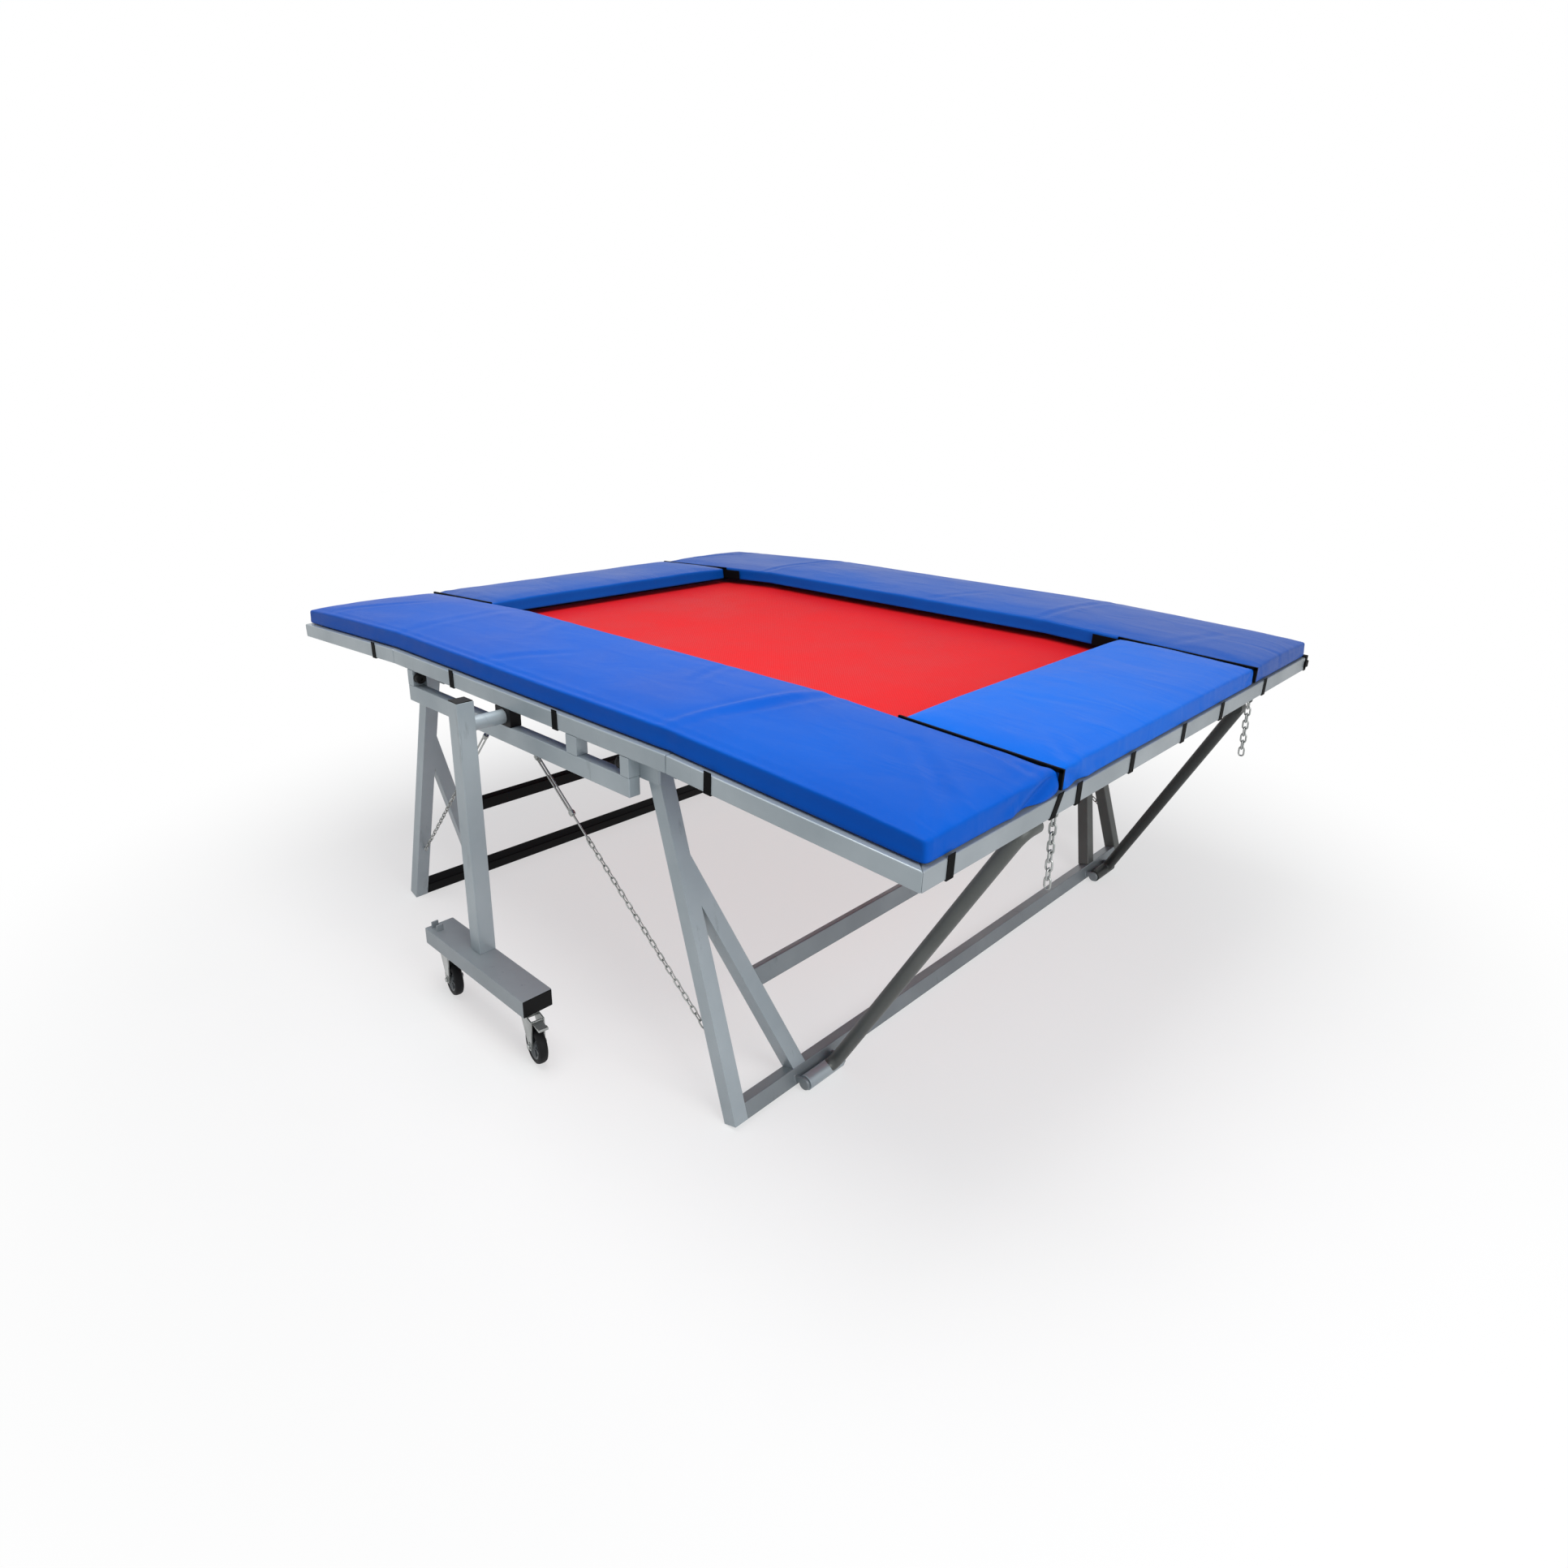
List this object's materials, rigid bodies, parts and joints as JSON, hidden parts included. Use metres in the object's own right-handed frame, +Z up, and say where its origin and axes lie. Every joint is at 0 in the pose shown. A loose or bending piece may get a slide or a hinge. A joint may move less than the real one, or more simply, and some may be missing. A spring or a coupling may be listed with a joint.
{
  "type": "folding trampoline",
  "caption": "Rectangular folding trampoline with padded frame, hinged ends, folding tubular leg frames, end struts and swinging roller stands on castors.",
  "frame": {"origin": "centre of the footprint on the floor", "axes": "+Z up, +X along the longer side towards the end with the struts, -Y towards the near side"},
  "size_m": [3.3046, 3.022, 1.199],
  "materials": {
    "steel": "silver-grey paint",
    "black_metal": "black paint",
    "zinc": "zinc plated",
    "black_plastic": "matte",
    "wheel_rubber": "matte",
    "pad_vinyl": "coated fabric over foam",
    "bed_weave": "woven",
    "webbing": "woven webbing"
  },
  "bodies": {
    "base": {"side_rail_near": "steel", "side_rail_far": "steel", "sub_rail_near": "steel", "sub_rail_far": "steel", "slot_posts": "steel", "stand_bearings": "black_plastic", "leg_brackets": "steel", "slot_buffers": "black_plastic", "fold_leaves": "zinc", "springs_middle": "zinc", "bed_middle": "bed_weave", "pad_near_middle": "pad_vinyl", "pad_far_middle": "pad_vinyl", "straps_middle": "webbing", "leg_chains_right": "zinc", "leg_chains_left": "zinc"},
    "end_right": {"end_rail_right": "steel", "arm_right_near": "steel", "arm_right_far": "steel", "fittings_right": "zinc", "springs_right": "zinc", "bed_right": "bed_weave", "pad_right": "pad_vinyl", "side_pads_right": "pad_vinyl", "straps_right": "webbing"},
    "end_left": {"end_rail_left": "steel", "arm_left_near": "steel", "arm_left_far": "steel", "fold_tongues_left": "zinc", "springs_left": "zinc", "bed_left": "bed_weave", "pad_left": "pad_vinyl", "side_pads_left": "pad_vinyl", "straps_left": "webbing"},
    "hanging_chain_near": {"hang_chain_near": "zinc"},
    "hanging_chain_far": {"hang_chain_far": "zinc"},
    "legs_right": {"leg_right_near": "steel", "leg_right_far": "steel", "foot_tube_right": "steel", "cross_tube_right": "steel"},
    "legs_left": {"leg_left_near": "steel", "leg_left_far": "steel", "foot_tube_left": "black_metal", "cross_tube_left": "black_metal"},
    "strut_near": {"strut_near": "steel"},
    "strut_far": {"strut_far": "steel"},
    "stand_near": {"stand_post_near": "steel", "stand_beam_near": "steel"},
    "stand_far": {"stand_post_far": "steel", "stand_beam_far": "steel"},
    "fork_near_left": {"fork_near_left": "zinc"},
    "wheel_near_left": {"wheel_near_left": "wheel_rubber"},
    "fork_near_right": {"fork_near_right": "zinc"},
    "wheel_near_right": {"wheel_near_right": "wheel_rubber"},
    "pedal_near": {"pedal_near": "zinc"},
    "fork_far_left": {"fork_far_left": "zinc"},
    "wheel_far_left": {"wheel_far_left": "wheel_rubber"},
    "fork_far_right": {"fork_far_right": "zinc"},
    "wheel_far_right": {"wheel_far_right": "wheel_rubber"},
    "pedal_far": {"pedal_far": "zinc"}
  },
  "joints": [
    {"name": "fold_right", "type": "hinge", "parent": "base", "child": "end_right", "pos_m": [0.8, 0, 1.121], "axis": [0, -1, 0], "range_deg": [0, 110]},
    {"name": "fold_left", "type": "hinge", "parent": "base", "child": "end_left", "pos_m": [-0.8, 0, 1.121], "axis": [0, 1, 0], "range_deg": [0, 110]},
    {"name": "leg_fold_right", "type": "hinge", "parent": "base", "child": "legs_right", "pos_m": [0.676, 0, 1.03], "axis": [0, 1, 0], "range_deg": [0, 50], "deforming": ["leg_chains_right"]},
    {"name": "leg_fold_left", "type": "hinge", "parent": "base", "child": "legs_left", "pos_m": [-0.676, 0, 1.03], "axis": [0, -1, 0], "range_deg": [0, 50], "deforming": ["leg_chains_left"]},
    {"name": "strut_near_swing", "type": "hinge", "parent": "legs_right", "child": "strut_near", "pos_m": [1.0399, -0.9, 0.03178], "axis": [0, 1, 0], "range_deg": [0, 52]},
    {"name": "strut_far_swing", "type": "hinge", "parent": "legs_right", "child": "strut_far", "pos_m": [1.0399, 0.985, 0.03178], "axis": [0, 1, 0], "range_deg": [0, 52]},
    {"name": "chain_near_swing", "type": "hinge", "parent": "end_right", "child": "hanging_chain_near", "pos_m": [1.61667, -0.67, 1.00984], "axis": [0, 1, 0], "range_deg": [-45, 45]},
    {"name": "chain_far_swing", "type": "hinge", "parent": "end_right", "child": "hanging_chain_far", "pos_m": [1.61667, 0.765, 1.00984], "axis": [0, 1, 0], "range_deg": [-45, 18]},
    {"name": "stand_near_swing", "type": "hinge", "parent": "base", "child": "stand_near", "pos_m": [-0.03, -1.407, 1.037], "axis": [0, 1, 0], "range_deg": [-90, 90]},
    {"name": "castor_near_left_swivel", "type": "hinge", "parent": "stand_near", "child": "fork_near_left", "pos_m": [-0.2455, -1.459, 0.17], "axis": [0, 0, 1], "continuous": true},
    {"name": "castor_near_left_roll", "type": "hinge", "parent": "fork_near_left", "child": "wheel_near_left", "pos_m": [-0.20611, -1.46595, 0.0625], "axis": [0.1736, 0.9848, 0], "continuous": true},
    {"name": "castor_near_right_swivel", "type": "hinge", "parent": "stand_near", "child": "fork_near_right", "pos_m": [0.2855, -1.459, 0.17], "axis": [0, 0, 1], "continuous": true},
    {"name": "castor_near_right_roll", "type": "hinge", "parent": "fork_near_right", "child": "wheel_near_right", "pos_m": [0.32489, -1.46595, 0.0625], "axis": [0.1736, 0.9848, 0], "continuous": true},
    {"name": "brake_near_press", "type": "hinge", "parent": "fork_near_right", "child": "pedal_near", "pos_m": [0.33671, -1.46803, 0.1495], "axis": [0.1736, 0.9848, 0], "range_deg": [0, 12]},
    {"name": "stand_far_swing", "type": "hinge", "parent": "base", "child": "stand_far", "pos_m": [-0.03, 1.407, 1.037], "axis": [0, 1, 0], "range_deg": [-90, 90]},
    {"name": "castor_far_left_swivel", "type": "hinge", "parent": "stand_far", "child": "fork_far_left", "pos_m": [-0.2455, 1.459, 0.17], "axis": [0, 0, 1], "continuous": true},
    {"name": "castor_far_left_roll", "type": "hinge", "parent": "fork_far_left", "child": "wheel_far_left", "pos_m": [-0.20611, 1.46595, 0.0625], "axis": [-0.1736, 0.9848, 0], "continuous": true},
    {"name": "castor_far_right_swivel", "type": "hinge", "parent": "stand_far", "child": "fork_far_right", "pos_m": [0.2855, 1.459, 0.17], "axis": [0, 0, 1], "continuous": true},
    {"name": "castor_far_right_roll", "type": "hinge", "parent": "fork_far_right", "child": "wheel_far_right", "pos_m": [0.32489, 1.46595, 0.0625], "axis": [-0.1736, 0.9848, 0], "continuous": true},
    {"name": "brake_far_press", "type": "hinge", "parent": "fork_far_right", "child": "pedal_far", "pos_m": [0.33671, 1.46803, 0.1495], "axis": [-0.1736, 0.9848, 0], "range_deg": [0, 12]}
  ]
}
